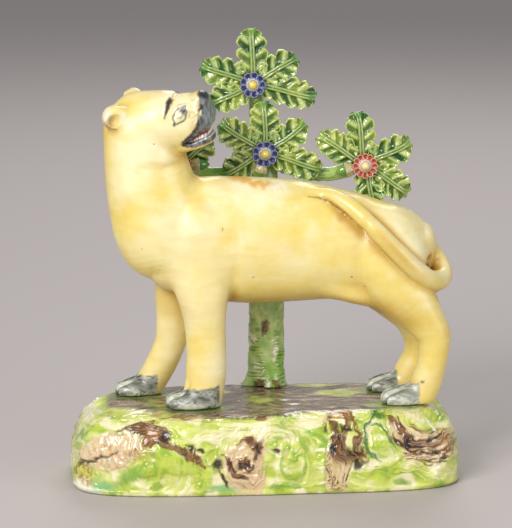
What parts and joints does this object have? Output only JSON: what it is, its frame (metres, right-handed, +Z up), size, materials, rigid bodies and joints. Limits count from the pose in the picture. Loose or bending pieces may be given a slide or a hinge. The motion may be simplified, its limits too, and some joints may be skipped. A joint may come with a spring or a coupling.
{
  "type": "ceramic lioness figure",
  "caption": "Glazed earthenware lioness standing on a rockwork mound and looking back over her shoulder, before a small tree bearing oak-leaf sprays and flowers. Stands by its own weight.",
  "frame": {"origin": "centre of the mound's flat underside, where it rests on the shelf", "axes": "+Z up; +Y away from the viewer of the front, through the thickness of the figure; the lioness's body points to -X and her head looks back towards +X"},
  "size_m": [0.165, 0.075, 0.188],
  "materials": {
    "rockwork_glaze": "lime-green, cream and brown brushed glaze over moulded rockwork",
    "yellow_glaze": "buttery yellow glaze, pooling ochre in the hollows",
    "bark_glaze": "green glaze over hatched bark",
    "leaf_glaze": "yellow-green glaze, pooling dark between the veins",
    "blue_enamel": "cobalt blue under a clear glaze",
    "orange_enamel": "orange-red under a clear glaze"
  },
  "bodies": {
    "root": {"mound_base": "rockwork_glaze", "lioness": "yellow_glaze", "tree_trunk": "bark_glaze", "leaf_spray_top": "leaf_glaze", "flower_top": "blue_enamel", "leaf_spray_middle": "leaf_glaze", "flower_middle": "blue_enamel", "leaf_spray_right": "leaf_glaze", "flower_right": "orange_enamel", "leaf_spray_left": "leaf_glaze", "flower_left": "orange_enamel"}
  },
  "joints": []
}
